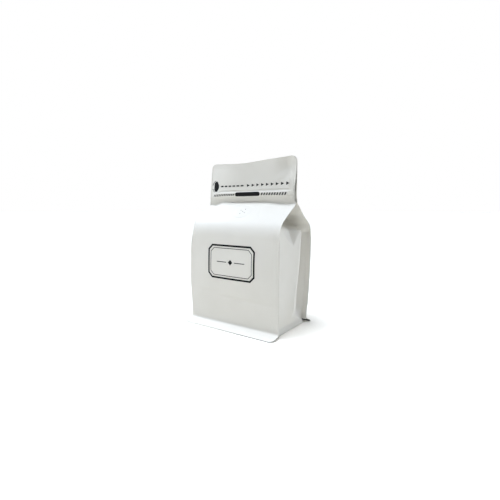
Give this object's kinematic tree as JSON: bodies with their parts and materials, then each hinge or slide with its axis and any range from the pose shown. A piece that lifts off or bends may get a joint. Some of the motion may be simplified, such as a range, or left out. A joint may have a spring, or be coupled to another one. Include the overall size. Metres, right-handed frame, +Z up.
{
  "type": "flat-bottom bag",
  "caption": "Filled flat-bottom film bag with side gussets, edge seals, foot lips, gabled shoulders and a flat neck with a tear strip and press-to-close track.",
  "frame": {"origin": "middle of the flat face that the bag stands on", "axes": "+X along the front panel, to the right for someone facing it; +Y from the front panel to the back panel; +Z up through the neck"},
  "size_m": [0.137, 0.0959, 0.206],
  "materials": {
    "film": "white matte laminated film",
    "strip": "white matte laminated film, scored to tear"
  },
  "bodies": {
    "root": {"pouch": "film", "tear_strip": "strip"}
  },
  "joints": []
}
